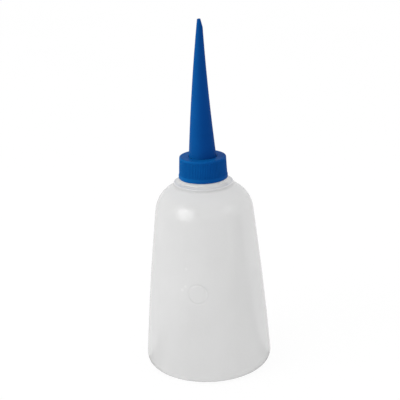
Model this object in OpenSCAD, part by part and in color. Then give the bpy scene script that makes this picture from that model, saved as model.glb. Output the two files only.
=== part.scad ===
// Squeeze bottle for glue: a tapered blown bottle, a long hollow cone nozzle and the ribbed screw
// collar that clamps the nozzle to the neck. The nozzle's flange is captive in the collar, so both
// rise together as the collar unscrews.
// Origin: centre of the base, on the plane the bottle stands on. +Z runs up the bottle's axis.

/* [Bottle body] */
// Radius of the base, at the top of its rounded heel
base_r = 43; // [41:0.5:46]
// Radius of the rounded heel
heel_r = 6.3; // [4:0.1:8]
// Height at which the tapered side meets the shoulder
side_h = 111; // [105:1:114]
// Radius of the side at that height
side_top_r = 32.8; // [31:0.1:35]
// How far the side bulges outward halfway up
side_bulge = 0.65; // [0:0.05:1.5]
// Thickness of the blown wall
wall = 1.2; // [0.8:0.1:1.4]
// Rise of the middle of the base above the ring it stands on
push_up = 2.5; // [1:0.1:4]
// Width of the flat ring the bottle stands on
stand_w = 3; // [2:0.5:5]

/* [Shoulder and neck] */
// Radius of the raised ring at the foot of the neck
ring_r = 19.9; // [19:0.1:20.5]
// Height of the foot of that ring
ring_z = 127.5; // [126:0.1:128]
// Height of the raised ring
ring_h = 2; // [1.8:0.1:2.4]
// Slope of the shoulder where it meets the ring, in degrees
shoulder_slope = 39; // [25:1:45]
// Outer radius of the neck between its threads
neck_r = 12.7; // [12.4:0.1:12.8]
// Inner radius of the neck
neck_bore_r = 11.3; // [10.8:0.1:11.5]
// Height of the neck's lip
lip_z = 142.4; // [142:0.1:143]
// Radius of the step under the collar
step_r = 15.6; // [15:0.1:16]

/* [Screw thread] */
// Rise of the thread in one turn
pitch = 3.2; // [2.8:0.1:3.4]
// Crest radius of the thread on the neck
neck_crest_r = 13.8; // [13.5:0.1:13.8]
// Crest radius of the thread in the collar
collar_crest_r = 13.05; // [13.05:0.05:13.2]
// Height of the lowest thread in the collar
thread_z = 134.3; // [134:0.1:134.6]

/* [Collar] */
// Outer radius of the collar at its lower edge
collar_r = 16.2; // [16:0.1:17]
// Outer radius of the collar at its top
collar_top_r = 15.5; // [15.2:0.1:16]
// Height of the collar's lower edge above the base
collar_z = 132.3; // [132:0.1:132.6]
// Height of the collar
collar_h = 14.5; // [14:0.1:15]
// Thickness of the collar's top
collar_top_t = 1.8; // [1.5:0.1:2]
// Radius of the hole the nozzle passes through
collar_hole_r = 9.3; // [9.3:0.1:10]
// Number of fine grooves round the skirt
groove_count = 90; // [60:1:100]
// Depth of each groove
groove_d = 0.35; // [0.2:0.05:0.5]

/* [Nozzle] */
// Height of the nozzle's tip above the base
tip_z = 237.1; // [225:0.1:245]
// Radius of the cone at the collar's top plate
cone_r = 9.2; // [9:0.05:9.4]
// Radius of the cone at the tip
tip_r = 1.6; // [1.4:0.05:2]
// Radius of the outlet
outlet_r = 0.8; // [0.4:0.1:1]
// Length of the straight outlet
outlet_l = 7; // [4:0.5:10]
// Thickness of the cone's wall at its foot
cone_wall = 1.35; // [1:0.05:1.6]
// Radius of the flange clamped under the collar
flange_r = 13.9; // [13.8:0.1:13.9]
// Outer radius of the plug that fits the neck
plug_r = 11.2; // [10.7:0.1:11.2]
// Depth of the plug below the neck's lip
plug_l = 4.5; // [3:0.5:6]
// Slant of the cut at the tip, from the axis, in degrees
cut_slant = 16.5; // [10:0.5:30]
// Distance from the axis to the cut at the very tip
cut_offset = 0.5; // [0.2:0.1:1]

/* [Hidden] */
$fn = 96;
arc_steps = 10;
edge_steps = 5;
curve_steps = 14;

milky = [0.87, 0.88, 0.88];
blue = [0.04, 0.27, 0.56];
seal_white = [0.93, 0.93, 0.91];

crease_r = 0.7;          // fillet between the shoulder and the raised ring
edge_r = 0.8;            // rounding of the raised ring's top edge
root_r = 1.3;            // fillet between the ring's top and the step
step_bevel = 0.3;
step_gap = 0.35;         // clearance between the step and the collar above it
lip_r = 0.4;             // bevel on the neck's lip
ring_top_z = ring_z + ring_h;
step_z = collar_z - step_gap;
shoulder_pull_low = 10.8;   // reach of the shoulder curve along the side
shoulder_pull_high = 3.4;   // reach of the shoulder curve along its upper slope

washer_r = 13.1;
washer_t = 0.9;
washer_play = 0.2;       // radial gap between the washer and the plug
washer_gap = 0.05;       // seating gap between the washer and the lip
washer_z = lip_z + washer_gap;
flange_z = washer_z + washer_t;
plate_z = collar_z + collar_h - collar_top_t;    // underside of the collar's top
flange_gap = 0.1;        // play of the flange under the collar's top
flange_top_z = plate_z - flange_gap;
plug_wall = 1;
plug_lead = [0.3, 1];    // taper at the plug's lower end, inward and upward
throat_low = 0.2;        // the plug's bore funnels into the cone from this far below the flange's foot
throat_high = 1;         // to this far above it

collar_bore_r = 14.2;    // inner radius of the collar between its threads
snap_r = 13.6;           // bead that keeps the flange in the collar
snap_h = 0.6;
snap_gap = 0.15;         // below the flange
collar_edge_r = 0.7;     // rounding of the collar's top edge
band_h = 2.2;            // plain band under the grooves
band_proud = 0.15;       // how far that band stands out
rim_h = 1;               // plain rim above the grooves
groove_w = 0.62;         // width of a groove where it breaks the surface

thread_arc = 78;         // each thread is broken into arcs, one every quarter turn
thread_step = 90;
neck_thread_arcs = 5;
collar_thread_arcs = 4;
ridge_w = 1.9;           // width of a thread ridge where it meets its wall
neck_crest_w = 0.8;
collar_crest_w = 0.7;
lead = atan(pitch / (2 * PI * neck_crest_r));
over = 0.4;              // how far a ridge is sunk into its wall

// A point on a cubic curve with the four given control points
function cubic(p, t) =
    pow(1 - t, 3) * p[0]
    + 3 * pow(1 - t, 2) * t * p[1]
    + 3 * (1 - t) * t * t * p[2]
    + t * t * t * p[3];

// Points of an arc in the profile plane, as [radius, height]
function arc(centre, r, from, to, steps = arc_steps) =
    [for (i = [0 : steps])
        let (turn = from + (to - from) * i / steps)
        centre + r * [cos(turn), sin(turn)]];

// Angle by which the side leans inward where it leaves the heel
side_lean = atan((base_r - side_top_r - 4 * side_bulge) / (side_h - heel_r));
heel_centre = [base_r - heel_r, heel_r];
side_start = heel_centre + heel_r * [cos(side_lean), sin(side_lean)];
side_end = [side_top_r, side_h];
dome_r = base_r - heel_r - stand_w;

// Underside of the base: a shallow dome inside the standing ring
base_curve = [for (i = [0 : curve_steps])
    let (r = dome_r * i / curve_steps)
    [r, push_up * (1 + cos(180 * r / dome_r)) / 2]];

// Tapered side with a slight outward bulge
side_curve = [for (i = [1 : arc_steps])
    let (t = i / arc_steps)
    (1 - t) * side_start + t * side_end + [4 * side_bulge * t * (1 - t), 0]];

// Direction of the side where it reaches the shoulder
side_rise = side_end - side_start - [4 * side_bulge, 0];
side_dir = side_rise / norm(side_rise);
ring_foot = [ring_r + crease_r * (1 - sin(shoulder_slope)), ring_z];
crease_centre = ring_foot + crease_r * [sin(shoulder_slope), cos(shoulder_slope)];
shoulder_controls = [
    side_end,
    side_end + shoulder_pull_low * side_dir,
    ring_foot + shoulder_pull_high * [cos(shoulder_slope), -sin(shoulder_slope)],
    ring_foot
];
shoulder_curve = [for (i = [1 : curve_steps - 1]) cubic(shoulder_controls, i / curve_steps)];

body_path = concat(base_curve, arc(heel_centre, heel_r, -90, side_lean), side_curve, shoulder_curve);

// The same path moved inward by the wall, along its own normals
function direction(path, i) =
    let (d = path[min(i + 1, len(path) - 1)] - path[max(i - 1, 0)])
    d / norm(d);
inner_path = [for (i = [0 : len(body_path) - 1])
    let (d = direction(body_path, i))
    [max(0, body_path[i][0] - wall * d[1]), body_path[i][1] + wall * d[0]]];

// Raised ring, step and neck, up the outside, over the lip and down the bore
neck_path = concat(
    arc(crease_centre, crease_r, 270 - shoulder_slope, 180, edge_steps),
    arc([ring_r - edge_r, ring_top_z - edge_r], edge_r, 0, 90, edge_steps),
    arc([step_r + root_r, ring_top_z + root_r], root_r, 270, 180, edge_steps),
    [
        [step_r, step_z - step_bevel],
        [step_r - step_bevel, step_z],
        [neck_r, step_z],
        [neck_r, lip_z - lip_r],
        [neck_r - lip_r, lip_z],
        [neck_bore_r + lip_r / 2, lip_z],
        [neck_bore_r, lip_z - lip_r / 2],
        [neck_bore_r, ring_top_z + wall],
        [neck_bore_r + wall, ring_top_z - wall / 2],
        [ring_r - 2 * wall, ring_top_z - wall]
    ]
);

function reversed(path) = [for (i = [len(path) - 1 : -1 : 0]) path[i]];

// One arc of a thread ridge, tilted to the thread's lead; the ridge narrows from root to crest
module thread_arc(root, crest, crest_w)
    rotate([lead, 0, 0])
    rotate([0, 0, -thread_arc / 2])
    rotate_extrude(angle = thread_arc)
    polygon([[root, -ridge_w / 2], [crest, -crest_w / 2], [crest, crest_w / 2], [root, ridge_w / 2]]);

// A run of such arcs climbing one pitch per turn
module thread(z, count, root, crest, crest_w)
    for (i = [0 : count - 1])
        translate([0, 0, z + pitch * i * thread_step / 360])
        rotate([0, 0, i * thread_step])
        thread_arc(root, crest, crest_w);

module bottle() {
    color(milky) {
        rotate_extrude()
            polygon(concat(body_path, neck_path, reversed(inner_path)));
        thread(thread_z + pitch / 2, neck_thread_arcs, neck_r - over, neck_crest_r, neck_crest_w);
    }
}

// Hollow cone with its flange and plug, cut at a slant at the tip
module nozzle() {
    cone_slope = (cone_r - tip_r) / (tip_z - plate_z);
    foot_r = cone_r + cone_slope * flange_gap;
    plug_z = lip_z - plug_l;
    plug_inner_r = plug_r - plug_wall;
    color(blue)
    difference() {
        rotate_extrude()
            polygon([
                [outlet_r, tip_z],
                [outlet_r, tip_z - outlet_l],
                [cone_r - cone_wall, flange_z + throat_high],
                [plug_inner_r, flange_z - throat_low],
                [plug_inner_r, plug_z],
                [plug_r - plug_lead[0], plug_z],
                [plug_r, plug_z + plug_lead[1]],
                [plug_r, flange_z],
                [flange_r, flange_z],
                [flange_r, flange_top_z],
                [foot_r, flange_top_z],
                [tip_r, tip_z]
            ]);
        translate([cut_offset, -tip_z / 2, tip_z])
            rotate([0, -cut_slant, 0])
            translate([0, 0, -tip_z / 4])
            cube([tip_z, tip_z, tip_z]);
    }
}

module sealing_washer() {
    color(seal_white)
    translate([0, 0, washer_z])
    difference() {
        cylinder(r = washer_r, h = washer_t);
        translate([0, 0, -washer_t]) cylinder(r = plug_r + washer_play, h = 3 * washer_t);
    }
}

// One V-shaped groove, leaning with the draft of the skirt
module groove() {
    draft = atan((collar_r - collar_top_r) / collar_h);
    translate([collar_r, 0, collar_z])
        rotate([0, -draft, 0])
        translate([0, 0, band_h])
        linear_extrude(height = collar_h - band_h - rim_h)
        polygon([[-groove_d, 0], [groove_d, -groove_w], [groove_d, groove_w]]);
}

module collar() {
    band_r = collar_r + band_proud;
    top_z = collar_z + collar_h;
    edge_centre = [collar_top_r - collar_edge_r, top_z - collar_edge_r];
    snap_top_z = flange_z - snap_gap;
    color(blue) {
        difference() {
            rotate_extrude()
                polygon(concat(
                    [
                        [collar_bore_r, collar_z],
                        [band_r, collar_z],
                        [band_r, collar_z + band_h - band_proud],
                        [band_r - 2 * band_proud, collar_z + band_h + band_proud]
                    ],
                    arc(edge_centre, collar_edge_r, 0, 90, edge_steps),
                    [
                        [collar_hole_r, top_z],
                        [collar_hole_r, plate_z],
                        [collar_bore_r, plate_z],
                        [collar_bore_r, snap_top_z + snap_h / 4],
                        [snap_r, snap_top_z - snap_h / 4],
                        [snap_r, snap_top_z - snap_h / 2],
                        [collar_bore_r, snap_top_z - snap_h]
                    ]
                ));
            for (i = [0 : groove_count - 1])
                rotate([0, 0, i * 360 / groove_count]) groove();
        }
        thread(thread_z, collar_thread_arcs, collar_bore_r + over, collar_crest_r, collar_crest_w);
    }
}

bottle();
nozzle();
sealing_washer();
collar();
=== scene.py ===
"""Looks of the glue applicator bottle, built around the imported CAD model: the blown bottle, the
cone nozzle, the grooved screw collar and the sealing washer, each in its own plastic or foam."""
import math

import bpy
import numpy as np
from mathutils import Matrix, Vector, noise


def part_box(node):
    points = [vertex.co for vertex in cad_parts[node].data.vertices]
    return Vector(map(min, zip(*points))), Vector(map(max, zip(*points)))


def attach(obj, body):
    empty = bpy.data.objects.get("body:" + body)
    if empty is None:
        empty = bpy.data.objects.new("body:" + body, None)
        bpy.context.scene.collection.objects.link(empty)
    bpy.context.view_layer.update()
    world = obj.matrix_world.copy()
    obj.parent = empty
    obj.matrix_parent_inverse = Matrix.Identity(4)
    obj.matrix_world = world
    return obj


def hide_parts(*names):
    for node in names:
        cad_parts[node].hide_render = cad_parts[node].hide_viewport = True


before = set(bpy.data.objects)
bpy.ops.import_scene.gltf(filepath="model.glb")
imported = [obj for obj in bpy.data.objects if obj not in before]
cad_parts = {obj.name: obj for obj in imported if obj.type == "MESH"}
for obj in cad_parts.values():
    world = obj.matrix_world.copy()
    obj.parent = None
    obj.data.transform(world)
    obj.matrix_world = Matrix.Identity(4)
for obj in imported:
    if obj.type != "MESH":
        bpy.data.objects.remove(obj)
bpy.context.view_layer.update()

MM = 0.001

# ---------------------------------------------------------------------------------------------
# Sizes in millimetres, in the CAD model's frame: origin at the centre of the base, +Z up
# ---------------------------------------------------------------------------------------------


def corner_mm(node):
    """Highest corner of a CAD node, in millimetres."""
    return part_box(node)[1] / MM


# Body of the bottle
BASE_R = 43.0
HEEL_R = 6.3
SIDE_H = 111.0
SIDE_TOP_R = 32.8
SIDE_BULGE = 0.65
WALL = 1.2
PUSH_UP = 2.5            # height of the domed base above the flat ring that the bottle stands on
STAND_W = 3.0            # width of that ring
BODY_INSET = 0.1         # how far the blown wall stays inside its nominal surface
BODY_UNEVEN = 0.03       # and how much further it wanders
WANDER_ROUND = 2.2       # about this many times round the bottle
WANDER_RISE = 38.0       # and over about this height
FLASH_H, FLASH_W = 0.06, 0.5       # the parting line
WELD_H, WELD_W = 0.45, 0.9         # the pinched weld under the base

# Shoulder, and the raised ring at the neck's foot
RING_R = 19.9
RING_Z = 127.5
RING_TOP_Z = 129.5
CREASE_R = 0.7
EDGE_R = 0.8
ROOT_R = 1.3
SHOULDER_SLOPE = math.radians(39)
SHOULDER_PULL_LOW = 10.8           # how far the shoulder's curve carries on along the side
SHOULDER_PULL_HIGH = 3.4           # and how far along its own slope at the top

# Neck, and the step just under the collar
NECK_R = 12.7
NECK_BORE_R = 11.3
LIP_Z = corner_mm("bottle").z
STEP_R = 15.6
STEP_GAP = 0.35

# Screw thread: ridges in arcs, with a gap each quarter turn
PITCH = 3.2
THREAD_Z = 134.3
THREAD_ARC = 78.0
THREAD_STEP = 90.0
THREAD_ROOT_W = 1.8
NECK_ARCS, NECK_CREST_R, NECK_CREST_W = 5, 13.8, 0.8
COLLAR_ARCS, COLLAR_CREST_R, COLLAR_CREST_W = 4, 13.05, 0.7

# Collar
COLLAR_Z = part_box("collar")[0].z / MM
STEP_Z = COLLAR_Z - STEP_GAP
COLLAR_TOP_Z = corner_mm("collar").z
COLLAR_R = 16.2
COLLAR_TOP_R = 15.5
COLLAR_TOP_T = 1.8
COLLAR_HOLE_R = 9.3
COLLAR_BORE_R = 14.2
BAND_H = 2.2
BAND_PROUD = 0.15
GROOVE_COUNT = 90
GROOVE_D = 0.35
GROOVE_W = 0.4
RIM_H = 1.0
SNAP_R = 13.6

# Nozzle
PLATE_Z = COLLAR_TOP_Z - COLLAR_TOP_T
TIP_Z = corner_mm("nozzle").z
TIP_R = 1.6
CONE_R = 9.2
CONE_WALL = 1.35
OUTLET_R = 0.8
OUTLET_L = 7.0
PLUG_R = 11.2
PLUG_L = 4.5
FLANGE_R = 13.9
FLANGE_GAP = 0.1
CUT_SLANT = math.radians(16.5)
CUT_OFFSET = 0.5
NOZZLE_LEAN = -2.0       # the long soft nozzle is not quite straight: it leans a little one way
NOZZLE_BOW = 2.95        # and curves back the other
NOZZLE_FLASH_H, NOZZLE_FLASH_W = 0.05, 0.22

# Washer
WASHER_LOW, WASHER_HIGH = (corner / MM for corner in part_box("sealing_washer"))
WASHER_BORE_R = PLUG_R + 0.2
FLANGE_Z = WASHER_HIGH.z

# A plain circle pressed into the front of the body, and small pale specks in its wall near it
MARK_PLACE = (-6.3, -37.5, 63.4)
MARK_R, MARK_W = 6.4, 1.0
SPECKS = ((-14.1, -34.8, 68.4), (-16.3, -34.0, 65.8), (-13.2, -34.0, 80.3))
SPECK_R, SPECK_FADE_R = 0.5, 1.3

# Level circles of painted shade round the raised ring and of painted light just above it: radius, height
# and reach
RING_PAINTED_SHADE = (RING_R, RING_TOP_Z - EDGE_R, 2.5)
NECK_FOOT_PAINTED_LIGHT = (STEP_R + EDGE_R, RING_TOP_Z + 0.3, 3.0)

# The two halves of each mould met at these angles round the axis
SEAMS = (0.0, math.pi)

# Edges bent by more than this are shaded as sharp
SHARP = math.radians(40)

# ---------------------------------------------------------------------------------------------
# Profiles: lists of [radius, height] in millimetres
# ---------------------------------------------------------------------------------------------


def arc(centre, radius, start, end, steps):
    """Points of an arc, angles in degrees."""
    turns = np.radians(np.linspace(start, end, steps + 1))
    return np.array(centre) + radius * np.stack([np.cos(turns), np.sin(turns)], 1)


def cubic(controls, steps):
    """Points of the cubic curve with these four control points."""
    t = np.linspace(0, 1, steps + 1)[:, None]
    a, b, c, d = (np.array(p, float) for p in controls)
    return (1 - t) ** 3 * a + 3 * (1 - t) ** 2 * t * b + 3 * (1 - t) * t * t * c + t ** 3 * d


def rounded(corners, steps=4):
    """A path through corners of [radius, height, rounding], each corner eased into a short curve."""
    points = []
    for i, (r, z, rounding) in enumerate(corners):
        here = np.array([r, z], float)
        if rounding == 0 or i in (0, len(corners) - 1):
            points.append(here)
            continue
        back = np.array(corners[i - 1][:2], float) - here
        ahead = np.array(corners[i + 1][:2], float) - here
        reach = min(np.linalg.norm(back), np.linalg.norm(ahead)) * 0.5
        back, ahead = back / np.linalg.norm(back), ahead / np.linalg.norm(ahead)
        half = math.acos(max(-1.0, min(1.0, float(back @ ahead)))) / 2
        cut = min(rounding / max(math.tan(half), 1e-6), reach)
        start, end = here + back * cut, here + ahead * cut
        for t in np.linspace(0, 1, steps + 1):
            points.append((1 - t) ** 2 * start + 2 * (1 - t) * t * here + t * t * end)
    return np.array(points)


def joined(*paths):
    """The paths end to end, with repeated points left out."""
    points = np.concatenate([np.array(p, float).reshape(-1, 2) for p in paths])
    keep = np.r_[True, np.linalg.norm(np.diff(points, axis=0), axis=1) > 1e-4]
    return points[keep]


def divided(path, longest):
    """The path with points added, so that no stretch is longer than longest(its middle)."""
    points = [path[0]]
    for a, b in zip(path[:-1], path[1:]):
        count = max(1, math.ceil(np.linalg.norm(b - a) / longest((a + b) / 2)))
        points += [a + (b - a) * k / count for k in range(1, count + 1)]
    return np.array(points)


def inward(path, depth):
    """The path moved to its left by depth, along its own normals."""
    along = np.gradient(path, axis=0)
    along /= np.linalg.norm(along, axis=1)[:, None]
    moved = path + depth * np.stack([-along[:, 1], along[:, 0]], 1)
    moved[:, 0] = np.maximum(moved[:, 0], 0)
    return moved


# ---------------------------------------------------------------------------------------------
# Meshes
# ---------------------------------------------------------------------------------------------


def turned(name, profile, angles, shape=None):
    """A closed mesh made by turning a profile round the Z axis. The profile is a closed loop, or starts
    and ends on the axis. shape(angle, radius, height) may return a changed radius and height, as arrays.
    """
    on_axis = profile[0][0] < 1e-6 and profile[-1][0] < 1e-6
    rows = profile[1:-1] if on_axis else profile
    a, r = np.meshgrid(angles, rows[:, 0])
    z = np.meshgrid(angles, rows[:, 1])[1]
    if shape is not None:
        r, z = shape(a, r, z)
    points = np.stack([r * np.cos(a), r * np.sin(a), z], -1).reshape(-1, 3)
    high, wide = a.shape
    row = np.arange(high - 1 if on_axis else high)[:, None]
    col = np.arange(wide)[None, :]
    above, beside = (row + 1) % high, (col + 1) % wide
    quads = np.stack(
        [row * wide + col, row * wide + beside, above * wide + beside, above * wide + col], -1
    ).reshape(-1, 4)
    faces = quads.tolist()
    if on_axis:
        low_pole, high_pole = len(points), len(points) + 1
        points = np.concatenate([points, [[0, 0, profile[0][1]], [0, 0, profile[-1][1]]]])
        last = (high - 1) * wide
        for i in range(wide):
            j = (i + 1) % wide
            faces.append([low_pole, j, i])
            faces.append([high_pole, last + i, last + j])
    mesh = bpy.data.meshes.new(name)
    mesh.from_pydata((points * MM).tolist(), [], faces)
    mesh.update()
    obj = bpy.data.objects.new(name, mesh)
    bpy.context.scene.collection.objects.link(obj)
    mesh.shade_smooth()
    mesh.set_sharp_from_angle(angle=SHARP)
    return obj


def bump(distance, width):
    """1 at distance 0, falling smoothly to 0 at width."""
    return np.clip(1 - (distance / width) ** 2, 0, 1) ** 2


def ridge(distance, root, crest):
    """1 within half of crest, falling in a straight flank to 0 at half of root."""
    return np.clip((root / 2 - np.abs(distance)) / ((root - crest) / 2), 0, 1)


def thread_height(angle, height, low, arcs, crest):
    """How much of a thread ridge stands at each point, from 0 to 1. The thread climbs one pitch a turn
    from low, and is broken into arcs, each centred on a quarter turn and crest wide at its top."""
    turn = np.degrees(angle) % 360
    total = np.zeros_like(height)
    half = THREAD_ARC / 2
    for i in range(arcs):
        off = (turn - i * THREAD_STEP + 180) % 360 - 180
        middle = low + PITCH * (i * THREAD_STEP + off) / 360
        end = np.clip((half - np.abs(off)) / 3, 0, 1)
        total = np.maximum(total, ridge(height - middle, THREAD_ROOT_W, crest) * end)
    return total


def around(count, seams=(), near=()):
    """Angles round the axis: evenly spread, with extra ones close to each seam."""
    angles = set(np.round(np.arange(count) * 2 * math.pi / count, 6))
    for seam in seams:
        for off in near:
            angles |= {round((seam + s * off) % (2 * math.pi), 6) for s in (-1, 1)}
    return np.array(sorted(angles))


def seam_distance(angle, radius, seams):
    """Distance along the surface from the nearest seam, in millimetres."""
    gaps = [np.abs((angle - s + math.pi) % (2 * math.pi) - math.pi) for s in seams]
    return np.minimum.reduce(gaps) * radius


# ---------------------------------------------------------------------------------------------
# The blown bottle
# ---------------------------------------------------------------------------------------------


def bottle_body_path():
    """The outside from the middle of the base up to the foot of the raised ring."""
    lean = math.atan((BASE_R - SIDE_TOP_R - 4 * SIDE_BULGE) / (SIDE_H - HEEL_R))
    heel_centre = np.array([BASE_R - HEEL_R, HEEL_R])
    dome_r = BASE_R - HEEL_R - STAND_W
    r = np.linspace(0, dome_r, 22)
    base = np.stack([r, PUSH_UP * (1 + np.cos(math.pi * r / dome_r)) / 2], 1)
    heel = arc(heel_centre, HEEL_R, -90, math.degrees(lean), 16)
    start, end = heel[-1], np.array([SIDE_TOP_R, SIDE_H])
    t = np.linspace(0, 1, 48)[1:, None]
    side = (1 - t) * start + t * end + 4 * SIDE_BULGE * t * (1 - t) * np.array([[1.0, 0.0]])
    rise = end - start - np.array([4 * SIDE_BULGE, 0])
    rise /= np.linalg.norm(rise)
    foot = np.array([RING_R + CREASE_R * (1 - math.sin(SHOULDER_SLOPE)), RING_Z])
    fall = np.array([math.cos(SHOULDER_SLOPE), -math.sin(SHOULDER_SLOPE)])
    shoulder = cubic(
        [end, end + SHOULDER_PULL_LOW * rise, foot + SHOULDER_PULL_HIGH * fall, foot], 30
    )
    crease_centre = foot + CREASE_R * np.array([math.sin(SHOULDER_SLOPE), math.cos(SHOULDER_SLOPE)])
    crease = arc(crease_centre, CREASE_R, 270 - math.degrees(SHOULDER_SLOPE), 180, 6)
    return joined(base, heel, side, shoulder), crease


def bottle_path():
    """The whole profile: up the outside, over the lip and down the inside. Its points lie close
    together on the threaded neck."""
    body, crease = bottle_body_path()
    neck = rounded(
        [
            [RING_R, crease[-1][1], 0],
            [RING_R, RING_TOP_Z, EDGE_R],
            [STEP_R, RING_TOP_Z, ROOT_R],
            [STEP_R, STEP_Z, 0.3],
            [NECK_R, STEP_Z, 0.2],
            [NECK_R, LIP_Z, 0.4],
            [NECK_BORE_R, LIP_Z, 0.3],
            [NECK_BORE_R, RING_TOP_Z + WALL / 2, 1.2],
            [RING_R - 2 * WALL, RING_TOP_Z - WALL, 1.2],
            [RING_R - WALL / 2, RING_Z - WALL / 2, 0],
        ],
        steps=6,
    )
    inside = inward(body, WALL)[::-1]

    def longest(middle):
        on_neck = middle[0] > NECK_R - 0.1 and STEP_Z < middle[1] < LIP_Z
        return 0.22 if on_neck else 3.0

    return divided(joined(body, crease, neck, inside[::2], inside[-1:]), longest)


def make_bottle():
    """The hollow bottle, with its thread, uneven blown wall, parting line and pinched weld."""
    path = bottle_path()
    outside_rows = int(np.argmax(path[:, 1] >= LIP_Z - 1e-6))

    def shape(a, r, z):
        outside = np.zeros_like(r, bool)
        outside[:outside_rows] = True
        thread = thread_height(a, z, THREAD_Z + PITCH / 2, NECK_ARCS, NECK_CREST_W)
        on_neck = outside & (r > NECK_R - 0.1) & (z > STEP_Z) & (z < LIP_Z)
        r = np.where(on_neck, r + thread * (NECK_CREST_R - NECK_R), r)
        # the wall was blown a little uneven, always inward of its nominal surface
        unit = np.stack([np.cos(a) * WANDER_ROUND, np.sin(a) * WANDER_ROUND, z / WANDER_RISE], -1)
        uneven = np.array([noise.noise(Vector(p)) for p in unit.reshape(-1, 3)]).reshape(r.shape)
        on_body = outside & (z < RING_Z) & (z > HEEL_R / 2)
        r = np.where(on_body, r - BODY_INSET - BODY_UNEVEN * (1 + uneven) / 2, r)
        # the parting line stands out as a fine rounded flash
        near_seam = bump(seam_distance(a, np.maximum(r, 5), SEAMS), FLASH_W)
        on_side = outside & (z > HEEL_R * 0.6) & (z < RING_Z - 0.5)
        r = np.where(on_side, r + FLASH_H * near_seam, r)
        # the pinched weld runs along the parting line across the underside
        under = outside & (z < PUSH_UP + 0.01) & (r < BASE_R - HEEL_R - STAND_W - 4)
        across = np.abs(np.sin(a)) * r
        z = np.where(under, z - WELD_H * bump(across, WELD_W) * (z > WELD_H + 0.1), z)
        return r, z

    middle_r = 38.0
    beside_seam = [off / middle_r for off in (0.12, 0.25, 0.4, 0.6)]
    return turned("bottle_shell", path, around(180, SEAMS, beside_seam), shape)


# ---------------------------------------------------------------------------------------------
# The nozzle, collar and washer
# ---------------------------------------------------------------------------------------------


def cut_slanted(piece):
    """Cut the nozzle's tip off at a slant, on its +X side."""
    knife_mesh = bpy.data.meshes.new("knife")
    half = 6.0
    corners = [[x, y, z] for x in (0, 2 * half) for y in (-half, half) for z in (-2 * half, half)]
    turn = Matrix.Rotation(-CUT_SLANT, 4, "Y")
    place = Matrix.Translation(Vector((CUT_OFFSET, 0, TIP_Z)) * MM) @ turn
    knife_mesh.from_pydata(
        [list(place @ (Vector(corner) * MM)) for corner in corners],
        [],
        [[0, 1, 3, 2], [4, 6, 7, 5], [0, 4, 5, 1], [2, 3, 7, 6], [0, 2, 6, 4], [1, 5, 7, 3]],
    )
    knife = bpy.data.objects.new("knife", knife_mesh)
    bpy.context.scene.collection.objects.link(knife)
    cut = piece.modifiers.new("slanted_cut", "BOOLEAN")
    cut.operation = "DIFFERENCE"
    cut.solver = "EXACT"
    cut.object = knife
    bpy.context.view_layer.update()
    graph = bpy.context.evaluated_depsgraph_get()
    mesh = bpy.data.meshes.new_from_object(piece.evaluated_get(graph))
    piece.modifiers.clear()
    piece.data = mesh
    bpy.data.objects.remove(knife)


def make_nozzle():
    """The hollow cone with its plug and flange, cut at the tip and a little bent."""
    slope = (CONE_R - TIP_R) / (TIP_Z - PLATE_Z)
    foot_z = PLATE_Z - FLANGE_GAP
    path = rounded(
        [
            [PLUG_R - 1, LIP_Z - PLUG_L, 0.15],
            [PLUG_R - 0.3, LIP_Z - PLUG_L, 0.15],
            [PLUG_R, LIP_Z - PLUG_L + 1, 0.4],
            [PLUG_R, FLANGE_Z, 0.05],
            [FLANGE_R, FLANGE_Z, 0.15],
            [FLANGE_R, foot_z, 0.15],
            [CONE_R + slope * FLANGE_GAP, foot_z, 0],
            [CONE_R - slope * 6, PLATE_Z + 6, 0],
            [TIP_R, TIP_Z, 0.15],
            [OUTLET_R, TIP_Z, 0.1],
            [OUTLET_R, TIP_Z - OUTLET_L, 0.5],
            [CONE_R - CONE_WALL, FLANGE_Z + 1, 0.8],
            [PLUG_R - 1, FLANGE_Z - 0.2, 0.3],
            [PLUG_R - 1, LIP_Z - PLUG_L + 0.01, 0],
        ]
    )
    path = divided(path, lambda middle: 2.5)

    def shape(a, r, z):
        outer = CONE_R - slope * (z - PLATE_Z)
        on_cone = (z > PLATE_Z + 2) & (r > outer - 0.2)
        near_seam = bump(seam_distance(a, np.maximum(r, 1), SEAMS), NOZZLE_FLASH_W)
        return np.where(on_cone, r + NOZZLE_FLASH_H * near_seam, r), z

    middle_r = 6.0
    beside_seam = [off / middle_r for off in (0.06, 0.14, 0.24)]
    nozzle = turned("nozzle_cone", path, around(120, SEAMS, beside_seam), shape)
    cut_slanted(nozzle)
    mesh = nozzle.data
    for vertex in mesh.vertices:
        rise = max(0, vertex.co.z / MM - PLATE_Z) / (TIP_Z - PLATE_Z)
        vertex.co.x += (NOZZLE_LEAN + NOZZLE_BOW * rise) * rise * MM
    mesh.shade_smooth()
    mesh.set_sharp_from_angle(angle=SHARP)
    return nozzle


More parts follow.
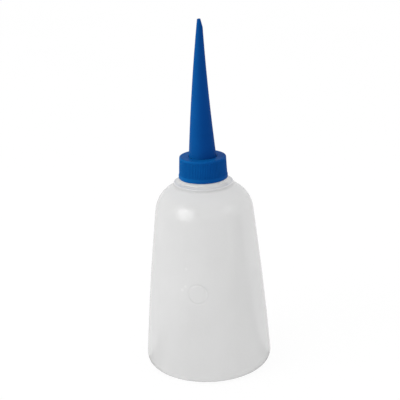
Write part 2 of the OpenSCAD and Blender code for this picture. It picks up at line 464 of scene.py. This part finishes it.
def make_collar():
    """The ring collar, with its grooved skirt, plain band, inner thread and snap bead."""
    top = COLLAR_TOP_Z
    band_r = COLLAR_R + BAND_PROUD
    snap_z = FLANGE_Z - 0.15
    path = rounded(
        [
            [COLLAR_BORE_R, COLLAR_Z, 0],
            [band_r, COLLAR_Z, 0.3],
            [band_r, COLLAR_Z + BAND_H - BAND_PROUD, 0.2],
            [band_r - 2 * BAND_PROUD, COLLAR_Z + BAND_H + BAND_PROUD, 0.2],
            [COLLAR_TOP_R, top, 0.9],
            [COLLAR_HOLE_R, top, 0.2],
            [COLLAR_HOLE_R, PLATE_Z, 0.1],
            [COLLAR_BORE_R, PLATE_Z, 0.1],
            [COLLAR_BORE_R, snap_z + 0.15, 0.1],
            [SNAP_R, snap_z - 0.2, 0.15],
            [COLLAR_BORE_R, snap_z - 0.6, 0.1],
            [COLLAR_BORE_R, COLLAR_Z + 0.01, 0],
        ],
        steps=5,
    )

    def longest(middle):
        on_skirt = middle[0] > NECK_CREST_R and middle[1] < top - 2.5
        return 0.35 if on_skirt else 1.2

    path = divided(path, longest)
    groove_low, groove_high = COLLAR_Z + BAND_H + 0.1, top - RIM_H
    groove_step = 2 * math.pi / GROOVE_COUNT

    def shape(a, r, z):
        thread = thread_height(a, z, THREAD_Z, COLLAR_ARCS, COLLAR_CREST_W)
        inside = np.abs(r - COLLAR_BORE_R) < 0.05
        on_skirt = ~inside & (r > COLLAR_TOP_R - 0.3)
        off = (a + groove_step / 2) % groove_step - groove_step / 2
        across = bump(off * COLLAR_R, GROOVE_W)
        fade = np.clip((z - groove_low) / 0.3, 0, 1) * np.clip((groove_high - z) / 0.5, 0, 1)
        r = np.where(on_skirt, r - GROOVE_D * across * fade, r)
        return np.where(inside, r - thread * (COLLAR_BORE_R - COLLAR_CREST_R), r), z

    return turned("collar_ring", path, around(GROOVE_COUNT * 6), shape)


def make_washer():
    """The plain soft ring."""
    path = rounded(
        [
            [WASHER_BORE_R, WASHER_LOW.z, 0],
            [WASHER_HIGH.x, WASHER_LOW.z, 0.2],
            [WASHER_HIGH.x, WASHER_HIGH.z, 0.2],
            [WASHER_BORE_R, WASHER_HIGH.z, 0.2],
            [WASHER_BORE_R, WASHER_LOW.z + 0.01, 0],
        ]
    )
    return turned("washer_ring", path, around(120))


# ---------------------------------------------------------------------------------------------
# Materials
# ---------------------------------------------------------------------------------------------

MILK_DEPTH = 0.0015      # how far light wanders in the milky wall, in metres
BLUE_SHINE = 0.02        # the blue plastics hardly mirror anything


class Shader:
    """A node material with a Principled shader, and short ways to add the nodes used here."""

    def __init__(self, name):
        self.material = bpy.data.materials.new(name)
        self.material.use_nodes = True
        self.tree = self.material.node_tree
        self.bsdf = self.tree.nodes["Principled BSDF"]
        self.place = self.add("ShaderNodeTexCoord").outputs["Object"]

    def add(self, kind, **settings):
        """A new node of this kind, with its settings."""
        node = self.tree.nodes.new(kind)
        for key, value in settings.items():
            setattr(node, key, value)
        return node

    def link(self, output, target):
        """Connect an output to an input."""
        self.tree.links.new(output, target)

    def set(self, **values):
        """Values on the Principled shader's own sockets."""
        for key, value in values.items():
            self.bsdf.inputs[key.replace("_", " ")].default_value = value

    def scaled(self, x, y, z):
        """The piece's own coordinates, stretched along each axis."""
        node = self.add("ShaderNodeMapping")
        self.link(self.place, node.inputs["Vector"])
        node.inputs["Scale"].default_value = (x, y, z)
        return node.outputs["Vector"]

    def noise(self, scale, detail=3.0, rough=0.5, place=None):
        """Soft noise of this many cells a metre."""
        node = self.add("ShaderNodeTexNoise")
        self.link(place or self.place, node.inputs["Vector"])
        node.inputs["Scale"].default_value = scale
        node.inputs["Detail"].default_value = detail
        node.inputs["Roughness"].default_value = rough
        return node.outputs["Fac"]

    def ramp(self, source, stops):
        """Colours at positions of the source, from stops of (position, colour)."""
        node = self.add("ShaderNodeValToRGB")
        self.link(source, node.inputs["Fac"])
        ramp = node.color_ramp
        while len(ramp.elements) < len(stops):
            ramp.elements.new(0.5)
        for element, (position, colour) in zip(ramp.elements, stops):
            element.position = position
            element.color = (*colour, 1)
        return node.outputs["Color"]

    def span(self, source, low, high, to_low, to_high):
        """The source's range from low to high, mapped to to_low to to_high and held at its ends."""
        node = self.add("ShaderNodeMapRange")
        self.link(source, node.inputs["Value"])
        limits = {"From Min": low, "From Max": high, "To Min": to_low, "To Max": to_high}
        for key, value in limits.items():
            node.inputs[key].default_value = value
        return node.outputs["Result"]

    def near_circle(self, radius, height, reach):
        """1 on a level circle round the axis, falling smoothly to 0 at reach from it. Millimetres."""
        flat = self.add("ShaderNodeVectorMath", operation="LENGTH")
        self.link(self.scaled(1, 1, 0), flat.inputs[0])
        level = self.add("ShaderNodeSeparateXYZ")
        self.link(self.place, level.inputs["Vector"])
        offset = self.add("ShaderNodeCombineXYZ")
        for output, middle, target in (
            (flat.outputs["Value"], radius, "X"),
            (level.outputs["Z"], height, "Y"),
        ):
            away = self.add("ShaderNodeMath", operation="SUBTRACT")
            self.link(output, away.inputs[0])
            away.inputs[1].default_value = middle * MM
            self.link(away.outputs["Value"], offset.inputs[target])
        distance = self.add("ShaderNodeVectorMath", operation="LENGTH")
        self.link(offset.outputs["Vector"], distance.inputs[0])
        fall = self.add("ShaderNodeMapRange", interpolation_type="SMOOTHSTEP")
        self.link(distance.outputs["Value"], fall.inputs["Value"])
        for key, value in (("From Max", reach * MM), ("To Min", 1), ("To Max", 0)):
            fall.inputs[key].default_value = value
        return fall.outputs["Result"]

    def distance_from(self, point):
        """Distance from a point given in millimetres."""
        node = self.add("ShaderNodeVectorMath", operation="DISTANCE")
        self.link(self.place, node.inputs[0])
        node.inputs[1].default_value = [c * MM for c in point]
        return node.outputs["Value"]

    def ring_round(self, point, radius, width):
        """1 on a circle of the surface round a point, falling to 0 at width to either side of it."""
        distance = self.distance_from(point)
        product = self.add("ShaderNodeMath", operation="MULTIPLY")
        for side, target in zip((-width, width), product.inputs):
            self.link(self.span(distance, (radius + side) * MM, radius * MM, 0, 1), target)
        return product.outputs["Value"]

    def tinted(self, colour, amount, factor):
        """The colour multiplied by factor where amount is 1, and as it is where amount is 0."""
        mix = self.add("ShaderNodeMix", data_type="RGBA", blend_type="MULTIPLY")
        self.link(amount, mix.inputs["Factor"])
        self.link(colour, mix.inputs[6])
        mix.inputs[7].default_value = (*factor, 1)
        return mix.outputs[2]

    def bump(self, source, strength, distance, below=None):
        """Normals bumped by the source, on top of those from another bump below."""
        node = self.add("ShaderNodeBump")
        self.link(source, node.inputs["Height"])
        node.inputs["Strength"].default_value = strength
        node.inputs["Distance"].default_value = distance
        if below is not None:
            self.link(below, node.inputs["Normal"])
        return node.outputs["Normal"]

    def white_to_the_eye(self, share, strength):
        """Show the camera this share of plain white. Everything else meets the true surface."""
        white = self.add("ShaderNodeEmission")
        white.inputs["Strength"].default_value = strength
        eye = self.add("ShaderNodeMath", operation="MULTIPLY")
        self.link(self.add("ShaderNodeLightPath").outputs["Is Camera Ray"], eye.inputs[0])
        eye.inputs[1].default_value = share
        mix = self.add("ShaderNodeMixShader")
        self.link(eye.outputs["Value"], mix.inputs["Fac"])
        self.link(self.bsdf.outputs["BSDF"], mix.inputs[1])
        self.link(white.outputs["Emission"], mix.inputs[2])
        self.link(mix.outputs["Shader"], self.tree.nodes["Material Output"].inputs["Surface"])


def milky_plastic():
    """Blown polyethylene: milky, a little waxy, with a faint orange peel."""
    look = Shader("milky_polyethylene")
    tint = look.noise(28, 2, 0.5)
    colour = look.ramp(tint, [(0.3, (0.82, 0.82, 0.818)), (0.7, (0.85, 0.85, 0.848))])
    # painted shade greys the raised ring, and painted light brightens the neck's foot just above it
    ring_shade, neck_foot_light, paler = (0.85, 0.85, 0.855), (1.12, 1.11, 1.08), (1.06, 1.06, 1.06)
    colour = look.tinted(colour, look.near_circle(*RING_PAINTED_SHADE), ring_shade)
    colour = look.tinted(colour, look.near_circle(*NECK_FOOT_PAINTED_LIGHT), neck_foot_light)
    for speck in SPECKS:
        within = look.span(look.distance_from(speck), SPECK_R * MM, SPECK_FADE_R * MM, 1, 0)
        colour = look.tinted(colour, within, paler)
    look.link(colour, look.bsdf.inputs["Base Color"])
    smear = look.noise(60, 4, 0.6, look.scaled(1, 1, 0.35))
    look.link(look.span(smear, 0.2, 0.8, 0.1, 0.16), look.bsdf.inputs["Roughness"])
    peel = look.bump(look.noise(900, 2, 0.5), 0.12, 0.0002)
    uneven = look.bump(look.noise(140, 2, 0.5), 0.15, 0.0006, peel)
    mark = look.bump(look.ring_round(MARK_PLACE, MARK_R, MARK_W), 0.52, -0.0004, uneven)
    look.link(mark, look.bsdf.inputs["Normal"])
    look.set(Subsurface_Weight=1.0, Subsurface_Radius=(1.0, 1.0, 1.0), Subsurface_Scale=MILK_DEPTH)
    look.set(IOR=1.5, Specular_IOR_Level=0.5)
    return look.material


def blue_plastic(name, grain, colour):
    """Moulded blue plastic with a fine grain, slightly uneven in gloss and depth of colour."""
    look = Shader(name)
    tint = look.noise(45, 3, 0.55)
    deep, pale = (tuple(share * c for c in colour) for share in (0.93, 1.07))
    look.link(look.ramp(tint, [(0.3, deep), (0.7, pale)]), look.bsdf.inputs["Base Color"])
    smear = look.noise(110, 4, 0.6)
    look.link(look.span(smear, 0.3, 0.7, 0.36, 0.5), look.bsdf.inputs["Roughness"])
    fine = look.bump(look.noise(2600, 2, 0.5), grain, 0.0001)
    uneven = look.bump(look.noise(300, 2, 0.5), 0.12, 0.0003, fine)
    look.link(uneven, look.bsdf.inputs["Normal"])
    look.set(Specular_IOR_Level=BLUE_SHINE)
    return look.material


def foam():
    """Closed-cell foam of the washer."""
    look = Shader("washer_foam")
    cells = look.add("ShaderNodeTexVoronoi")
    look.link(look.place, cells.inputs["Vector"])
    cells.inputs["Scale"].default_value = 2200
    cell = cells.outputs["Distance"]
    colour = look.ramp(cell, [(0.0, (0.72, 0.72, 0.69)), (0.6, (0.86, 0.86, 0.83))])
    look.link(colour, look.bsdf.inputs["Base Color"])
    look.link(look.span(cell, 0, 0.6, 0.95, 0.8), look.bsdf.inputs["Roughness"])
    look.link(look.bump(cell, 0.5, 0.0002), look.bsdf.inputs["Normal"])
    return look.material


def paper(name, scale, dark, pale, roughness, shine):
    """Plain paper for the floor, and for the dark card that stands in for the floor's shadow, in greys
    from dark to pale.
    """
    look = Shader(name)
    colour = look.ramp(look.noise(scale, 2), [(0.3, (dark,) * 3), (0.7, (pale,) * 3)])
    look.link(colour, look.bsdf.inputs["Base Color"])
    look.set(Roughness=roughness, Specular_IOR_Level=shine)
    return look


# ---------------------------------------------------------------------------------------------
# Stage, light and camera
# ---------------------------------------------------------------------------------------------

EYE_WHITE = 1.06         # strength of the plain white that the camera sees
FLOOR_WHITE = 0.8        # how much of it the floor shows
FLOOR_REACH = 6.0
FLOOR_Z = -0.02 * MM     # just clear of the ring that the bottle stands on
# a dark card standing in for the floor's shadow, met only by mirrored rays: painted shade on the body's
# low right
SHADOW_CARD_LOW, SHADOW_CARD_HIGH = (-0.125, -0.245), (1.5, 0.0)
SHADOW_CARD_Z = 1.5 * MM

# Strength of the surround and power of each lamp
WORLD = 0.82
KEY = 1.4
LEFT_GLINT = 5.3
RIGHT_GLINT = 0.75
BLUE_KEY = 9.4
HEEL_GLOW = 0.38


def make_camera():
    """A camera in front and a little above, aimed at the bottle's shoulder and slightly rolled."""
    focal_share = 2.679      # focal length over the picture's width
    distance, aim_z = 717.7, 116.0
    above, turn, roll = (math.radians(angle) for angle in (18.61, -0.23, -2.0))
    data = bpy.data.cameras.new("camera")
    data.sensor_width = 36.0
    data.lens = focal_share * data.sensor_width
    data.clip_start = 0.01
    data.clip_end = 20
    camera = bpy.data.objects.new("camera", data)
    bpy.context.scene.collection.objects.link(camera)
    ahead = Vector(
        (math.sin(turn) * math.cos(above), math.cos(turn) * math.cos(above), -math.sin(above))
    )
    right = ahead.cross(Vector((0, 0, 1))).normalized()
    up = right.cross(ahead)
    across = right * math.cos(roll) + up * math.sin(roll)
    upward = -right * math.sin(roll) + up * math.cos(roll)
    place = Vector((0, -distance * math.cos(above), aim_z + distance * math.sin(above))) * MM
    facing = Matrix((across, upward, -ahead)).transposed().to_4x4()
    camera.matrix_world = Matrix.Translation(place) @ facing
    bpy.context.scene.camera = camera


def area_light(name, towards, height, distance, size, power, colour=(1, 1, 1), only=None):
    """A soft box aimed at the bottle's shoulder from a distance in metres. Seen from there, it is this
    many degrees towards the right of the front, and height degrees up. With only, it lights just that
    collection's objects."""
    data = bpy.data.lights.new(name, "AREA")
    data.shape = "RECTANGLE"
    data.size, data.size_y = size
    data.energy = power
    data.color = colour
    light = bpy.data.objects.new(name, data)
    bpy.context.scene.collection.objects.link(light)
    across, up = math.radians(towards), math.radians(height)
    away = Vector((math.sin(across) * math.cos(up), -math.cos(across) * math.cos(up), math.sin(up)))
    light.location = Vector((0, 0, SIDE_H * MM)) + away * distance
    light.rotation_euler = away.to_track_quat("Z", "Y").to_euler()
    if only is not None:
        light.light_linking.receiver_collection = only
    return light


def flat_sheet(name, low, high, height, material):
    """A level rectangle between two corners, in metres."""
    (west, south), (east, north) = low, high
    mesh = bpy.data.meshes.new(name)
    corners = [(west, south), (east, south), (east, north), (west, north)]
    mesh.from_pydata([[x, y, height] for x, y in corners], [], [[0, 1, 2, 3]])
    mesh.materials.append(material)
    sheet = bpy.data.objects.new(name, mesh)
    bpy.context.scene.collection.objects.link(sheet)
    return sheet


def make_floor():
    """A pale floor, and on it a dark card that only mirrored rays meet: a painted shadow standing in for
    the floor's shade, which puts painted shade in the reflection on the body's low right."""
    floor_paper = paper("floor_paper", 3, 0.9, 0.93, roughness=0.9, shine=0.1)
    floor_paper.white_to_the_eye(FLOOR_WHITE, EYE_WHITE)
    far = FLOOR_REACH
    floor = flat_sheet("floor", (-far, -far), (far, far), FLOOR_Z, floor_paper.material)

    # the dark card is a painted floor shadow, seen only in the body's reflections
    shadow_paper = paper("painted_shadow_paper", 5, 0.2, 0.23, roughness=1.0, shine=0.0)
    card = flat_sheet("painted_shadow_card", SHADOW_CARD_LOW, SHADOW_CARD_HIGH, SHADOW_CARD_Z, shadow_paper.material)
    card.visible_camera = False
    card.visible_diffuse = False
    card.visible_shadow = False


def make_surround():
    """A white surround, brighter to the eye than to the object."""
    world = bpy.data.worlds.new("studio")
    bpy.context.scene.world = world
    world.use_nodes = True
    tree = world.node_tree
    soft = tree.nodes["Background"]
    bright = tree.nodes.new("ShaderNodeBackground")
    for background, strength in ((soft, WORLD), (bright, EYE_WHITE)):
        background.inputs["Color"].default_value = (1, 1, 1, 1)
        background.inputs["Strength"].default_value = strength
    rays = tree.nodes.new("ShaderNodeLightPath")
    mix = tree.nodes.new("ShaderNodeMixShader")
    tree.links.new(rays.outputs["Is Camera Ray"], mix.inputs["Fac"])
    tree.links.new(soft.outputs["Background"], mix.inputs[1])
    tree.links.new(bright.outputs["Background"], mix.inputs[2])
    tree.links.new(mix.outputs["Shader"], tree.nodes["World Output"].inputs["Surface"])
    bpy.context.scene.view_settings.view_transform = "Standard"


def make_lamps(milky, blue):
    """A weak key light from the left, two lamps that glint on the milky bottle's shoulder, a glow from
    below for its heel, and a lamp from the left for the blue pieces alone."""
    area_light("key_left", -60, 30, 1.1, (0.7, 0.7), KEY)
    for glint in (
        area_light("glint_left", -49, 21, 1.1, (0.72, 0.85), LEFT_GLINT, only=milky),
        area_light("glint_right", 63, 28, 1.2, (0.5, 0.4), RIGHT_GLINT, only=milky),
    ):
        glint.visible_diffuse = False
        glint.visible_camera = False
    below = area_light("glow_below", 0, -90, 0.3, (0.3, 0.3), HEEL_GLOW, only=milky)
    below.light_linking.blocker_collection = milky
    below.visible_camera = False
    below.visible_glossy = False
    greenish = (0.55, 1.0, 0.55)
    on_blue = area_light("left_on_blue", -85, 22, 1.0, (0.6, 0.8), BLUE_KEY, greenish, only=blue)
    on_blue.visible_glossy = False


# ---------------------------------------------------------------------------------------------
# Assembly
# ---------------------------------------------------------------------------------------------

blue_pieces = bpy.data.collections.new("blue_pieces")
milky_pieces = bpy.data.collections.new("milky_pieces")
make_camera()
make_floor()
make_surround()
make_lamps(milky_pieces, blue_pieces)

blue_nozzle = blue_plastic("blue_nozzle_plastic", 0.08, (0.002, 0.0556, 0.256))
blue_collar = blue_plastic("blue_collar_plastic", 0.12, (0.0022, 0.0745, 0.303))
for make, material, node, body, slot in (
    (make_bottle, milky_plastic(), "bottle", "bottle", "bottle_plastic"),
    (make_nozzle, blue_nozzle, "nozzle", "nozzle", "nozzle_plastic"),
    (make_collar, blue_collar, "collar", "collar", "collar_plastic"),
    (make_washer, foam(), "sealing_washer", "nozzle", "washer_foam"),
):
    piece = make()
    piece.data.materials.clear()
    piece.data.materials.append(material)
    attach(piece, body)
    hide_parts(node)
    if slot in ("nozzle_plastic", "collar_plastic"):
        blue_pieces.objects.link(piece)
    if slot == "bottle_plastic":
        milky_pieces.objects.link(piece)
